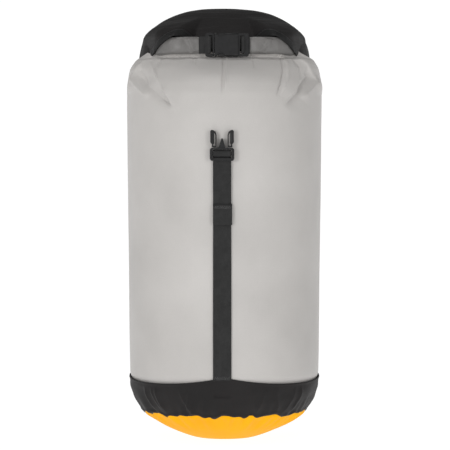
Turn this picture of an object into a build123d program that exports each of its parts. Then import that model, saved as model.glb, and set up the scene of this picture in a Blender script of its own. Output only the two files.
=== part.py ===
from build123d import *
import os
from math import cos, radians, sin, sqrt

# Roll-top compression dry sack, standing on its padded base.
# Millimetres, +Z up, +X right, the front strap faces -Y.
# Origin: centre of the flat patch the sack stands on.

# ---- driving dimensions ----
BODY_R_LOW = 108.0  # radius at the top of the base band
BODY_R_HIGH = 111.8  # radius just under the shoulders
Z_BAND_LOW = 31.0
Z_BAND_TOP = 72.0
Z_CONE_LOW = 77.0
Z_CONE_HIGH = 388.0
Z_SHOULDER = 408.0
Z_SHOULDER_MID = 421.0
Z_SHOULDER_TOP = 430.0
Z_CROWN = 435.2
FABRIC = 1.2
BAND_SKIN = 0.9
BAND_GAP = 0.25  # clearance between the band and the body
BAND_TUCK = 0.7  # the body's side curves in a little at the band's top edge
FOOT_R = 32.0  # flat patch under the base
# lower side of the sack, under the base band, as (radius, height)
LOWER_SIDE = [(92, Z_BAND_LOW), (96, 36), (100.6, 45), (104, 54), (106.5, 66)]
# outside of the base panel, from its seam in to the flat patch
BASE_DOME = [(92.9, 30.7), (86, 26), (78, 20.3), (68, 14.4), (57, 9), (45, 4.2), (FOOT_R, 0)]
BASE_WALL = 1.6
# the tube end drawn in to an oblong mouth: height, centre y, half width, half depth
SHOULDER_R = BODY_R_HIGH - 0.9
SHOULDER_OVALS = [
    (Z_SHOULDER, 0, SHOULDER_R, SHOULDER_R),
    (Z_SHOULDER_MID, -6, 108, 75),
    (Z_SHOULDER_TOP, -13, 101.7, 48),
    (Z_CROWN, -14, 97.5, 43),
]

WEB_W = 20.0
WEB_T = 1.4
END_TAB_T = 3.1  # free end folded on itself and stitched
PLY_GAP = 0.3

# side-release buckle for 20 mm webbing
BUCKLE_W = 26.7
FRAME_T = 5.0
FRAME_LEN = 14.4  # ladder-lock frame of an adjusting male half
FIXED_FRAME_LEN = 10.2  # plain frame of the male half on the roll
ARM_LEN = 19.6
ARM_GAP = 0.5
ARM_T = 3.4
PRONG_LEN = 10.6
PRONG_W = 8.0
FEMALE_BODY_LEN = 26.0
FEMALE_LEN = 37.7
FEMALE_BACK = -1.7
FEMALE_FRONT = 6.7
MOUTH_GAP = 0.3
SLOT_HALF_W = 10.3  # half length of the slots that the webbing passes
BAR_SLOT = (28.2, 32.8)  # slot for the sewn loop, from the socket's mouth
LOOP_START = 29.8  # inner end of a sewn loop, from the socket's mouth
BACK_PLY = (-PLY_GAP - WEB_T, -PLY_GAP)  # webbing that runs behind a buckle
BUCKLE_LIFT = 2.0  # back of the buckle frame above the sack

# straps: height of the buckle frame, free end and sewn foot
Z_FOOT = 73.0
Z_BUCKLE = 314.0
Z_REAR_BUCKLE = 338.0
Z_END_LOW = 244.0
Z_END_HIGH = 267.0
FRONT_ANGLE = -1.2  # from -Y towards +X
SIDE_ANGLE = 118.0

# rolled collar, closed into a ring round the crown
RING_HALF_W = 80.0
RING_HALF_D = 36.0
RING_Y = -28.0
RING_T = 9.0
Z_RING_LOW = 435.5
Z_RING_HIGH = 455.0
STIFFENER_T = 2.0
STIFFENER_H = 15.0
POCKET_GAP = 0.2  # clearance of the stiffener in its pocket

# roll buckle across the front of the ring
ROLL_MALE_X = -21.3
ROLL_Y = -62.5
ROLL_Z = 445.2
ROLL_END_LEFT = -27.6
ROLL_END_RIGHT = 29.4

# lid: half ellipsoid on an elliptical skirt, its rim on a tilted plane
LID_RX = 99.0
LID_RY = 82.0
LID_RZ = 66.0
LID_Y = 33.5
LID_Z = 430.0
Z_RIM_FRONT = 441.5
Z_RIM_REAR = 403.0
BINDING_T = 0.9
BINDING_H = 9.0
NOTCH_X = 58.0
NOTCH_Y = 14.0
Z_NOTCH = 458.0
SIDE_CLIP_ANGLE = 125.0
CLIP_LEAN = 3.0
CLIP_SPAN = 42.5  # mouth of a free socket to the sewn end of its tab

PARTS = {}


def save(name, shape):
    shape.label = name
    PARTS[name] = shape


def block(x, y, z):
    """Box from its low and high limits along each axis."""
    centre = ((x[0] + x[1]) / 2, (y[0] + y[1]) / 2, (z[0] + z[1]) / 2)
    return Pos(*centre) * Box(x[1] - x[0], y[1] - y[0], z[1] - z[0])


def plate(outline, w_low, w_high):
    """Extrude a (u, v) outline between two thickness levels."""
    face = make_face(Polyline(*outline, close=True))
    return Pos(0, 0, w_low) * extrude(face, w_high - w_low, dir=(0, 0, 1))


def side_profile(outline, width):
    """Extrude a (v, w) outline by a width centred on u = 0."""
    plane = Plane(origin=(-width / 2, 0, 0), x_dir=(0, 1, 0), z_dir=(1, 0, 0))
    return extrude(plane * make_face(Polyline(*outline, close=True)), width)


# ---- the sack ----


def body_radius(z):
    """Outer radius of the straight, slightly tapered tube."""
    share = (z - Z_CONE_LOW) / (Z_CONE_HIGH - Z_CONE_LOW)
    return BODY_R_LOW + share * (BODY_R_HIGH - BODY_R_LOW)


def tube_solid(inset):
    """Tube from the base seam to the shoulder."""
    points = LOWER_SIDE + [(BODY_R_LOW, Z_CONE_LOW), (BODY_R_HIGH, Z_CONE_HIGH), (SHOULDER_R, Z_SHOULDER)]
    wall = [(r - inset, z) for r, z in points]
    outline = [(0, Z_BAND_LOW)] + wall + [(0, Z_SHOULDER)]
    face = Plane.XZ * make_face(Polyline(*outline, close=True))
    return revolve(face, Axis.Z)


def shoulder_solid(inset):
    """Tube end drawn in to the oblong mouth that the collar is rolled from."""
    sections = []
    for z, y, half_w, half_d in SHOULDER_OVALS:
        top = inset if z == Z_CROWN else 0
        sections.append(Pos(0, y, z - top) * Ellipse(half_w - inset, half_d - inset))
    return loft(sections, ruled=True)


def body_panel():
    outer = tube_solid(0) + shoulder_solid(0)
    inner = tube_solid(FABRIC) + shoulder_solid(FABRIC)
    return outer - inner


def base_band():
    """Band round the foot of the sack, just proud of the body fabric."""
    wall = LOWER_SIDE + [(body_radius(Z_BAND_TOP) - BAND_TUCK, Z_BAND_TOP)]
    inner = [(r + BAND_GAP, z) for r, z in wall]
    outer = [(r + BAND_GAP + BAND_SKIN, z) for r, z in wall]
    face = Plane.XZ * make_face(Polyline(*(inner + outer[::-1]), close=True))
    return revolve(face, Axis.Z)


def base_panel():
    """Domed base with a flat patch that the sack stands on."""
    inner = [(r * 0.98 - 0.4, z + BASE_WALL) for r, z in BASE_DOME[1:]]
    seam_r, seam_z = BASE_DOME[0]
    outline = BASE_DOME + [(0, 0), (0, BASE_WALL)] + inner[::-1] + [(seam_r - 2.4, seam_z)]
    face = Plane.XZ * make_face(Polyline(*outline, close=True))
    return revolve(face, Axis.Z)


# ---- rolled collar ----


def stadium(half_w, half_d, z_low, height):
    shape = SlotOverall(2 * half_w, 2 * half_d)
    return Pos(0, RING_Y, z_low) * extrude(shape, height)


def ring_band(inset_out, thickness, z_low, z_high):
    outer = stadium(RING_HALF_W - inset_out, RING_HALF_D - inset_out, z_low, z_high - z_low)
    half_w = RING_HALF_W - inset_out - thickness
    half_d = RING_HALF_D - inset_out - thickness
    inner = stadium(half_w, half_d, z_low - 1, z_high - z_low + 2)
    opening = block((ROLL_END_LEFT, ROLL_END_RIGHT), (-80, RING_Y), (z_low - 1, z_high + 1))
    return outer - inner - opening


def rolled_collar():
    roll = ring_band(0, RING_T, Z_RING_LOW, Z_RING_HIGH)
    side = (RING_T - STIFFENER_T) / 2 - POCKET_GAP
    mid = (Z_RING_LOW + Z_RING_HIGH) / 2
    half = STIFFENER_H / 2 + POCKET_GAP
    pocket = ring_band(side, STIFFENER_T + 2 * POCKET_GAP, mid - half, mid + half)
    return roll - pocket


def collar_stiffener():
    side = (RING_T - STIFFENER_T) / 2
    mid = (Z_RING_LOW + Z_RING_HIGH) / 2
    return ring_band(side, STIFFENER_T, mid - STIFFENER_H / 2, mid + STIFFENER_H / 2)


# ---- side-release buckle, in its own (u, v, w) frame ----
# u across the webbing, v the way the male half is pushed in, w away from the sack


def rounded_frame(length):
    outline = Pos(0, length / 2) * RectangleRounded(BUCKLE_W, length, 3.0)
    return extrude(outline, FRAME_T)


def prong(length):
    root = length - 0.6
    tip = length + PRONG_LEN
    half = PRONG_W / 2
    outline = [(-half, root), (half, root), (0.9, tip - 0.8), (0, tip), (-0.9, tip - 0.8)]
    return plate(outline, 1.0, 4.0)


def ladder_frame():
    """Adjusting male half: two bars that the webbing winds through."""
    window = block((-SLOT_HALF_W, SLOT_HALF_W), (-1, FRAME_LEN - 2.1), (-1, FRAME_T + 1))
    lower_bar = block((-11, 11), (0.2, 3.0), (2.0, 4.6))
    middle_bar = block((-11, 11), (6.2, 10.2), (0.2, 3.2))
    return rounded_frame(FRAME_LEN) - window + lower_bar + middle_bar + prong(FRAME_LEN)


def fixed_frame():
    """Plain male half: one bar for a sewn loop."""
    window = block((-SLOT_HALF_W, SLOT_HALF_W), (4.2, 8.4), (-1, FRAME_T + 1))
    return rounded_frame(FIXED_FRAME_LEN) - window + prong(FIXED_FRAME_LEN)


def arm(length, side):
    """Spring arm: pad outside, thin rail inside, a slot between them."""
    outline = [
        (6.0, ARM_GAP), (6.0, 14.0), (7.2, 17.5), (9.5, 19.2), (11.6, ARM_LEN), (12.9, 18.2),
        (12.9, 6.2), (12.0, 4.7), (11.2, 3.9), (11.4, ARM_GAP),
    ]
    slot = [(7.5, 2.0), (7.3, 14.0), (8.6, 16.3), (8.7, 5.0), (9.7, 3.2), (9.6, 2.0)]
    w_low = (FRAME_T - ARM_T) / 2
    outer = plate([(side * u, length + v) for u, v in outline], w_low, w_low + ARM_T)
    inner = plate([(side * u, length + v) for u, v in slot], -1, FRAME_T + 1)
    return outer - inner


def female(length):
    """Socket half, its mouth facing the male frame."""
    mouth = length + MOUTH_GAP
    half = BUCKLE_W / 2
    v_end = mouth + FEMALE_LEN
    v_body = mouth + FEMALE_BODY_LEN
    shell = block((-half, half), (mouth, v_body), (FEMALE_BACK, FEMALE_FRONT))
    shell = fillet(shell.edges().filter_by(Axis.Y), 2.4)
    cavity = block((-11.9, 11.9), (mouth - 1, mouth + 21.0), (-0.5, 5.5))
    windows = block((-half - 1, half + 1), (mouth + 4.2, mouth + 19.9), (-0.5, 5.5))
    scoops = [
        Pos(side * (half + 0.6), mouth + 7.2, 2.5) * Cylinder(5.0, 12.0) for side in (-1, 1)
    ]
    bar_part = Pos(0, (v_body + v_end) / 2, 0.2) * extrude(
        RectangleRounded(BUCKLE_W - 1.0, FEMALE_LEN - FEMALE_BODY_LEN + 0.6, 1.6), 4.6
    )
    slot = block((-SLOT_HALF_W, SLOT_HALF_W), (mouth + BAR_SLOT[0], mouth + BAR_SLOT[1]), (-3, 9))
    return (shell - cavity - windows - scoops[0] - scoops[1]) + (bar_part - slot)


def loop_tab(v_in, v_out):
    """Webbing loop round a bar: v_in lies in the slot, v_out is sewn down."""
    v = sorted((v_in, v_out))
    w = (FEMALE_BACK, FEMALE_FRONT)
    half = WEB_W / 2 - 0.2
    outer = block((-half, half), v, w)
    hollow = (v[0] + WEB_T, v[1] - WEB_T)
    inner = block((-half - 1, half + 1), hollow, (w[0] + WEB_T, w[1] - WEB_T))
    return outer - inner


def webbing_turn():
    """Webbing wound over the middle bar and back behind the lower one."""
    back_low, back_high = BACK_PLY
    front_low = 3.5
    front_high = front_low + WEB_T
    outline = [
        (4.0, back_low), (12.0, back_low), (12.0, front_high), (4.0, front_high), (4.0, WEB_T),
        (3.6, WEB_T), (3.6, 0.0), (5.4, 0.0), (5.4, front_low), (10.6, front_low),
        (10.6, back_high), (4.0, back_high),
    ]
    return side_profile(outline, WEB_W - 0.4)


# ---- places ----


def strap_plane(angle, z, lift):
    """Plane on the tube at an angle from the front, its v along the tube wall."""
    a = radians(angle)
    lean = (BODY_R_HIGH - BODY_R_LOW) / (Z_CONE_HIGH - Z_CONE_LOW)
    norm = sqrt(1 + lean * lean)
    out = (sin(a) / norm, -cos(a) / norm, -lean / norm)
    across = (cos(a), sin(a), 0)
    r = body_radius(z)
    origin = (r * sin(a) + lift * out[0], -r * cos(a) + lift * out[1], z + lift * out[2])
    return Plane(origin=origin, x_dir=across, z_dir=out)


def rim_z(y):
    """Height of the lid's tilted rim plane."""
    y_front = LID_Y - LID_RY
    return Z_RIM_FRONT + (y - y_front) * (Z_RIM_REAR - Z_RIM_FRONT) / (2 * LID_RY)


def side_clip_plane(sign):
    """Plane of a free socket turned up against the lid, its mouth on top."""
    t = radians(SIDE_CLIP_ANGLE)
    x = LID_RX * sin(t)
    y = LID_Y - LID_RY * cos(t)
    norm = sqrt((sin(t) / LID_RX) ** 2 + (cos(t) / LID_RY) ** 2)
    nx = sin(t) / LID_RX / norm
    ny = -cos(t) / LID_RY / norm
    lean = radians(CLIP_LEAN)
    out = (sign * nx * cos(lean), ny * cos(lean), sin(lean))
    across = (ny, -sign * nx, 0)
    # the tab's sewn end stands just clear of the lid's binding
    lift = 3.0 - CLIP_SPAN * sin(lean)
    origin = (sign * (x + lift * nx), y + lift * ny, rim_z(y) + 4.0 + CLIP_SPAN * cos(lean))
    return Plane(origin=origin, x_dir=across, z_dir=out)


# ---- straps ----


def ply(z_low, z_high, w_low, w_high, width, z_origin):
    """Flat run of webbing in a strap plane whose v = 0 is at z_origin."""
    return block((-width / 2, width / 2), (z_low - z_origin, z_high - z_origin), (w_low, w_high))


def strap(tag, angle, z_buckle):
    """One compression strap: sewn foot, adjusting male buckle, free end."""
    place = strap_plane(angle, z_buckle, BUCKLE_LIFT).location
    drop = z_buckle - Z_BUCKLE
    end_low = Z_END_LOW + drop
    end_high = Z_END_HIGH + drop
    save(f"{tag}_strap_webbing", place * ply(Z_FOOT, z_buckle + 3.8, *BACK_PLY, WEB_W, z_buckle))
    save(f"{tag}_strap_turn", place * webbing_turn())
    save(f"{tag}_strap_tail", place * ply(end_high + 0.1, z_buckle + 3.4, 0, WEB_T, WEB_W, z_buckle))
    save(f"{tag}_strap_end", place * ply(end_low, end_high, 0, END_TAB_T, WEB_W + 1, z_buckle))
    save(f"{tag}_buckle_male", place * ladder_frame())
    save(f"{tag}_buckle_arm_left", place * arm(FRAME_LEN, -1))
    save(f"{tag}_buckle_arm_right", place * arm(FRAME_LEN, 1))


# ---- lid ----


def lid_solid(offset):
    """Solid of the lid's outer shape grown by an offset, down past its rim."""
    rx = LID_RX + offset
    ry = LID_RY + offset
    rz = LID_RZ + offset
    half_ball = Sphere(1, arc_size1=0, arc_size2=90, align=(Align.CENTER, Align.CENTER, Align.MIN))
    dome = scale(half_ball, by=(rx, ry, rz))
    skirt = Pos(0, 0, -40) * extrude(Ellipse(rx, ry), 40)
    return Pos(0, LID_Y, LID_Z) * (dome + skirt)


def above_rim(rise_low, rise_high):
    """Slab between two planes parallel to the lid's rim."""
    y0 = LID_Y - LID_RY - 10
    y1 = LID_Y + LID_RY + 10
    outline = [
        (y0, rim_z(y0) + rise_low), (y1, rim_z(y1) + rise_low),
        (y1, rim_z(y1) + rise_high), (y0, rim_z(y0) + rise_high),
    ]
    return side_profile(outline, 2 * LID_RX + 20)


def lid_notches():
    """Where the ends of the rolled collar come out from under the lid."""
    x_out = LID_RX + 20
    cuts = [
        block((min(s * NOTCH_X, s * x_out), max(s * NOTCH_X, s * x_out)), (-80, NOTCH_Y), (380, Z_NOTCH))
        for s in (-1, 1)
    ]
    return cuts[0] + cuts[1]


def lid_shell():
    shell = lid_solid(0) - lid_solid(-FABRIC)
    return (shell & above_rim(0, 160)) - lid_notches()


def lid_binding():
    skin = lid_solid(0.1 + BINDING_T) - lid_solid(0.1)
    return (skin & above_rim(0, BINDING_H)) - lid_notches()


# ---- assembly ----


def build_sack():
    save("body_panel", body_panel())
    save("base_band", base_band())
    save("base_panel", base_panel())
    save("rolled_collar", rolled_collar())
    save("collar_stiffener", collar_stiffener())


def build_roll_buckle():
    place = Plane(origin=(ROLL_MALE_X, ROLL_Y, ROLL_Z), x_dir=(0, 0, -1), z_dir=(0, -1, 0)).location
    mouth = FIXED_FRAME_LEN + MOUTH_GAP
    save("roll_buckle_male", place * fixed_frame())
    save("roll_buckle_arm_upper", place * arm(FIXED_FRAME_LEN, -1))
    save("roll_buckle_arm_lower", place * arm(FIXED_FRAME_LEN, 1))
    save("roll_buckle_female", place * female(FIXED_FRAME_LEN))
    save("roll_loop_left", place * loop_tab(6.6, ROLL_END_LEFT + 0.1 - ROLL_MALE_X))
    save("roll_loop_right", place * loop_tab(mouth + LOOP_START, ROLL_END_RIGHT - 0.1 - ROLL_MALE_X))


def build_straps():
    strap("front", FRONT_ANGLE, Z_BUCKLE)
    strap("left", -SIDE_ANGLE, Z_BUCKLE)
    strap("right", SIDE_ANGLE, Z_BUCKLE)
    strap("rear", 180.0, Z_REAR_BUCKLE)
    place = strap_plane(180.0, Z_REAR_BUCKLE, BUCKLE_LIFT).location
    mouth = FRAME_LEN + MOUTH_GAP
    save("rear_buckle_female", place * female(FRAME_LEN))
    save("lid_tab_rear", place * loop_tab(mouth + LOOP_START, Z_RIM_REAR - 1.2 - Z_REAR_BUCKLE))


def build_lid():
    save("lid_shell", lid_shell())
    save("lid_binding", lid_binding())
    # free sockets at the sides, turned up against the lid
    for tag, sign in (("left", -1), ("right", 1)):
        place = side_clip_plane(sign).location
        save(f"lid_buckle_{tag}", place * female(0))
        save(f"lid_tab_{tag}", place * loop_tab(MOUTH_GAP + LOOP_START, CLIP_SPAN))
    # the front socket lies folded back under the lid, on the crown of the sack
    fold = Plane(origin=(0, -1.7, Z_CROWN + 2.2), x_dir=(-1, 0, 0), z_dir=(0, 0, 1)).location
    save("lid_buckle_front", fold * female(0))
    save("lid_tab_front", fold * loop_tab(MOUTH_GAP + LOOP_START, CLIP_SPAN - 0.7))


build_sack()
build_roll_buckle()
build_straps()
build_lid()

os.makedirs("parts", exist_ok=True)
for name, shape in PARTS.items():
    export_step(shape, f"parts/{name}.step")
print(len(PARTS), "parts written")
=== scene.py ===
import math

import bpy
import numpy as np
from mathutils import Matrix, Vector


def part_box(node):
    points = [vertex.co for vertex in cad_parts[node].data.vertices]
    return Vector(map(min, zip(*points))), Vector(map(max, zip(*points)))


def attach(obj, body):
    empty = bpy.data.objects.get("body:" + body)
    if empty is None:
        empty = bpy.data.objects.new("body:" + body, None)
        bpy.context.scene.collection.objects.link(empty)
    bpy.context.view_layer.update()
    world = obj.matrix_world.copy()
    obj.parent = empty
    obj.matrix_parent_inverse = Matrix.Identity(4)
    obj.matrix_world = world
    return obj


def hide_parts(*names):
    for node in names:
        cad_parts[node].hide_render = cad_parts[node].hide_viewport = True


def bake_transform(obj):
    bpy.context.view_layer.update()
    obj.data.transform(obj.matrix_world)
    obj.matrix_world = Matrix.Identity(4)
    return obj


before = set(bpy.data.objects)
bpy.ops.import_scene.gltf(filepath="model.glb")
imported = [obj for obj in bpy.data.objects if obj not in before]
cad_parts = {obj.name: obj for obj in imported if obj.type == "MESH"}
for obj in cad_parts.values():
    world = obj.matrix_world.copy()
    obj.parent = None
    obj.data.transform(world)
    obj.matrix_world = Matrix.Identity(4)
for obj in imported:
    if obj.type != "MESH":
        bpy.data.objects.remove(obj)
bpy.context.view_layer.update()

MM = 0.001
TAU = 2 * math.pi
TINY = 1e-6  # keeps a division away from zero

# ---- driving sizes in millimetres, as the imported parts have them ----
Z_CONE_LOW = 77.0
Z_CONE_HIGH = 388.0
R_LOW = 108.0
R_HIGH = 111.8
LEAN = (R_HIGH - R_LOW) / (Z_CONE_HIGH - Z_CONE_LOW)  # taper of the tube wall
Z_FOOT = 73.0  # sewn foot of each strap
Z_BUCKLE = 314.0  # buckle of each free strap
REAR_DROP = 24.0  # how much higher the rear strap's buckle sits
WEB_HALF = 10.0
CLOTH_T = 0.9
THIN_CLOTH_T = 0.8
BAND_T = 0.7
# where the straps stand round the sack, in degrees from the front
FRONT_ANGLE = -1.2
SIDE_ANGLE = 118.0
REAR_ANGLE = 180.0


def node_box(name):
    """Lowest and highest corner of a CAD node, in millimetres."""
    low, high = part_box(name)
    return np.array(low) / MM, np.array(high) / MM


# ================= small numeric helpers =================


def smooth(a, b, x):
    """0 below a, 1 above b, smooth between; a may be above b."""
    t = np.clip((x - a) / (b - a), 0, 1)
    return t * t * (3 - 2 * t)


def bell(x, centre, width):
    """Smooth hump of height 1 at a centre."""
    return np.exp(-(((x - centre) / width) ** 2))


def wander(a, b, seed, scale=1.0):
    """Smooth wave field of two coordinates, about -1 to 1, fixed by its seed."""
    rng = np.random.default_rng(seed)
    total = 0
    weight = 0
    for octave in range(5):
        size = scale * 1.6**octave
        amp = 0.72**octave
        turn = rng.uniform(0, TAU)
        push = rng.uniform(0, TAU)
        across = a * math.sin(turn) - b * math.cos(turn)
        along = a * math.cos(turn) + b * math.sin(turn)
        bend = 0.9 * np.sin(size * 0.6 * across + push)
        total = total + amp * np.sin(size * along + bend + 2 * push)
        weight += amp
    return total / weight


def ring_wave(theta, drift, slow, fast, seed):
    """Waves that close round the sack, of slow to fast counts a turn; drift bends them."""
    rng = np.random.default_rng(seed)
    total = 0
    for count in range(slow, fast + 1):
        push = rng.uniform(0, TAU)
        bend = rng.uniform(-1.2, 1.2)
        total = total + rng.uniform(0.5, 1.0) * np.sin(count * theta + bend * drift + push)
    return total / math.sqrt(fast - slow + 1)


def spline(knots, values, t, steady=False):
    """Smooth curve through the values at the knots; a steady one never overshoots them."""
    knots = np.asarray(knots, float)
    values = np.asarray(values, float)
    slopes = np.gradient(values, knots, axis=0)
    column = (slice(None),) + (None,) * (values.ndim - 1)
    if steady:
        rise = np.diff(values, axis=0) / np.diff(knots)[column]
        before, after = rise[:-1], rise[1:]
        same_way = before * after > 0
        mean = 2 * before * after / np.where(same_way, before + after, 1)
        slopes[1:-1] = np.where(same_way, mean, 0)
    i = np.clip(np.searchsorted(knots, t, side="right") - 1, 0, len(knots) - 2)
    h = knots[i + 1] - knots[i]
    s = ((t - knots[i]) / h)[column]
    h = h[column]
    h00 = 2 * s**3 - 3 * s**2 + 1
    h10 = s**3 - 2 * s**2 + s
    h01 = -2 * s**3 + 3 * s**2
    h11 = s**3 - s**2
    return h00 * values[i] + h10 * h * slopes[i] + h01 * values[i + 1] + h11 * h * slopes[i + 1]


def fold(x, z, points, width, height, taper=0.25):
    """Cloth fold along a polyline: a pinched crest, faded at both ends."""
    pts = np.asarray(points, float)
    seg = np.diff(pts, axis=0)
    lengths = np.hypot(seg[:, 0], seg[:, 1])
    run = np.concatenate([[0], np.cumsum(lengths)])
    best = np.full(x.shape, 1e9)
    side = np.zeros(x.shape)
    along = np.zeros(x.shape)
    for k, (p, d, length) in enumerate(zip(pts[:-1], seg, lengths)):
        ux, uz = d / length
        t = np.clip((x - p[0]) * ux + (z - p[1]) * uz, 0, length)
        dx = x - p[0] - t * ux
        dz = z - p[1] - t * uz
        dist = np.hypot(dx, dz)
        near = dist < best
        best = np.where(near, dist, best)
        side = np.where(near, np.sign(dx * uz - dz * ux), side)
        along = np.where(near, run[k] + t, along)
    share = along / run[-1]
    fade = smooth(0, taper, share) * smooth(1, 1 - taper, share)
    # a pinched crest: steep on one side, a long slope on the other
    reach = np.where(side > 0, 0.8, 2.4) * width
    crest = np.sqrt(best**2 + (0.3 * width) ** 2) - 0.3 * width
    return height * fade * np.exp(-crest / reach)


# ================= mesh helpers =================


def mesh_object(name, verts, faces):
    """Smooth-shaded object from millimetre points."""
    mesh = bpy.data.meshes.new(name)
    mesh.from_pydata((np.asarray(verts, float) * MM).tolist(), [], faces)
    mesh.validate()
    mesh.polygons.foreach_set("use_smooth", [True] * len(mesh.polygons))
    mesh.update()
    obj = bpy.data.objects.new(name, mesh)
    bpy.context.scene.collection.objects.link(obj)
    return obj


def grid_faces(nv, nu, closed_v=False, offset=0):
    """Quads between nv closed rings of nu points, numbered from offset."""
    faces = []
    for i in range(nv if closed_v else nv - 1):
        for j in range(nu):
            row = offset + i * nu
            next_row = offset + (i + 1) % nv * nu
            j2 = (j + 1) % nu
            faces.append((row + j, row + j2, next_row + j2, next_row + j))
    return faces


def grid_object(name, pts, cap_start=False, cap_end=False):
    """Object from an array of points (rows, columns, 3) whose rows are closed rings."""
    nv, nu = pts.shape[:2]
    faces = grid_faces(nv, nu)
    if cap_start:
        faces.append(tuple(range(nu - 1, -1, -1)))
    if cap_end:
        faces.append(tuple((nv - 1) * nu + j for j in range(nu)))
    return mesh_object(name, pts.reshape(-1, 3), faces)


def thicken(obj, thickness):
    """Give a sheet its thickness, inwards, and apply it, so that the mesh is closed."""
    mod = obj.modifiers.new("thickness", "SOLIDIFY")
    mod.thickness = thickness * MM
    mod.offset = -1.0
    mod.use_even_offset = False
    graph = bpy.context.evaluated_depsgraph_get()
    done = bpy.data.meshes.new_from_object(obj.evaluated_get(graph))
    obj.modifiers.clear()
    obj.data = done


def paint(obj, material):
    """Give an object one material."""
    obj.data.materials.clear()
    obj.data.materials.append(material)


def stand_in(obj, material, node, body):
    """Finish a visual piece that stands for a CAD node and rides on one body."""
    paint(obj, material)
    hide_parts(node)
    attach(obj, body)


# ================= materials =================


def srgb(r, g, b):
    """8-bit display colour to linear."""
    out = []
    for c in (r, g, b):
        c = c / 255
        out.append(c / 12.92 if c <= 0.04045 else ((c + 0.055) / 1.055) ** 2.4)
    return (*out, 1.0)


class Nodes:
    """Short way to write a material's node tree."""

    def __init__(self, name, roughness, sheen=0.0, specular=0.5):
        self.mat = bpy.data.materials.new(name)
        self.mat.use_nodes = True
        self.tree = self.mat.node_tree
        self.bsdf = self.tree.nodes["Principled BSDF"]
        self.bsdf.inputs["Roughness"].default_value = roughness
        self.bsdf.inputs["Sheen Weight"].default_value = sheen
        self.bsdf.inputs["Sheen Roughness"].default_value = 0.45
        self.bsdf.inputs["Specular IOR Level"].default_value = specular
        self.coord = self.tree.nodes.new("ShaderNodeTexCoord").outputs["Object"]

    def link(self, source, target):
        self.tree.links.new(source, target)

    def noise(self, scale, detail=3.0, stretch=(1, 1, 1)):
        mapping = self.tree.nodes.new("ShaderNodeMapping")
        mapping.inputs["Scale"].default_value = stretch
        self.link(self.coord, mapping.inputs["Vector"])
        node = self.tree.nodes.new("ShaderNodeTexNoise")
        node.inputs["Scale"].default_value = scale
        node.inputs["Detail"].default_value = detail
        self.link(mapping.outputs["Vector"], node.inputs["Vector"])
        return node.outputs["Fac"]

    def math(self, operation, a, b):
        node = self.tree.nodes.new("ShaderNodeMath")
        node.operation = operation
        for socket, value in zip(node.inputs, (a, b)):
            if isinstance(value, (int, float)):
                socket.default_value = value
            else:
                self.link(value, socket)
        return node.outputs[0]

    def axis(self, name):
        node = self.tree.nodes.new("ShaderNodeSeparateXYZ")
        self.link(self.coord, node.inputs[0])
        return node.outputs[name]

    def angle_mm(self, radius_mm):
        """Distance round the sack, in metres, at a radius."""
        turn = self.math("ARCTAN2", self.axis("X"), self.axis("Y"))
        return self.math("MULTIPLY", turn, radius_mm * MM)

    def mix(self, a, b, share):
        """Weighted sum of two values, with this share of the second."""
        first = self.math("MULTIPLY", a, 1 - share)
        return self.math("ADD", first, self.math("MULTIPLY", b, share))

    def wave(self, source, pitch_mm, sharp=1.0):
        """0 to 1 wave of a pitch along a length in metres."""
        phase = self.math("MULTIPLY", source, TAU / (pitch_mm * MM))
        value = self.math("ADD", self.math("MULTIPLY", self.math("SINE", phase, 0), 0.5), 0.5)
        return self.math("POWER", value, sharp) if sharp != 1.0 else value

    def colour(self, low, high, factor):
        """Base colour between two colours."""
        ramp = self.tree.nodes.new("ShaderNodeValToRGB")
        ramp.color_ramp.elements[0].color = low
        ramp.color_ramp.elements[1].color = high
        ramp.color_ramp.elements[0].position = 0.25
        ramp.color_ramp.elements[1].position = 0.75
        self.link(factor, ramp.inputs["Fac"])
        self.link(ramp.outputs["Color"], self.bsdf.inputs["Base Color"])

    def bump(self, height, strength, distance_mm):
        node = self.tree.nodes.new("ShaderNodeBump")
        node.inputs["Strength"].default_value = strength
        node.inputs["Distance"].default_value = distance_mm * MM
        self.link(height, node.inputs["Height"])
        if self.bsdf.inputs["Normal"].is_linked:
            self.link(self.bsdf.inputs["Normal"].links[0].from_socket, node.inputs["Normal"])
        self.link(node.outputs["Normal"], self.bsdf.inputs["Normal"])

    def rough(self, low, high, factor):
        span = self.math("MULTIPLY", factor, high - low)
        self.link(self.math("ADD", span, low), self.bsdf.inputs["Roughness"])


def ripstop(name, low, high, roughness, radius, sheen, crinkle, specular=0.4):
    """Thin coated nylon: fine weave, a faint ripstop grid, soft crinkles."""
    m = Nodes(name, roughness, sheen=sheen, specular=specular)
    round_sack = m.angle_mm(radius)
    up = m.axis("Z")
    mottle = m.noise(11.0, 4.0)
    grain = m.noise(900.0, 2.0)
    m.colour(low, high, m.mix(mottle, grain, 0.2))
    weave = m.math("MULTIPLY", m.wave(round_sack, 0.5), m.wave(up, 0.5))
    m.bump(weave, 0.25, 0.05)
    grid = m.math("MAXIMUM", m.wave(round_sack, 5.0, 24.0), m.wave(up, 5.0, 24.0))
    m.bump(grid, 0.35, 0.05)
    m.bump(m.noise(45.0, 5.0, (1, 1, 0.35)), crinkle, 1.2)
    m.rough(roughness - 0.06, roughness + 0.08, m.noise(60.0, 3.0))
    return m.mat


def webbing_material(name, low, high):
    """Ribbed nylon webbing with a herringbone weave."""
    m = Nodes(name, 0.66, sheen=0.04, specular=0.22)
    up = m.axis("Z")
    across = m.math("ADD", m.axis("X"), m.axis("Y"))
    twill = m.wave(m.math("ADD", m.math("MULTIPLY", across, 0.8), up), 1.1)
    ribs = m.wave(across, 2.4, 2.0)
    m.colour(low, high, m.mix(m.noise(140.0, 4.0), twill, 0.4))
    m.bump(twill, 0.55, 0.16)
    m.bump(ribs, 0.35, 0.14)
    m.rough(0.55, 0.72, m.noise(300.0, 2.0))
    return m.mat


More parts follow.
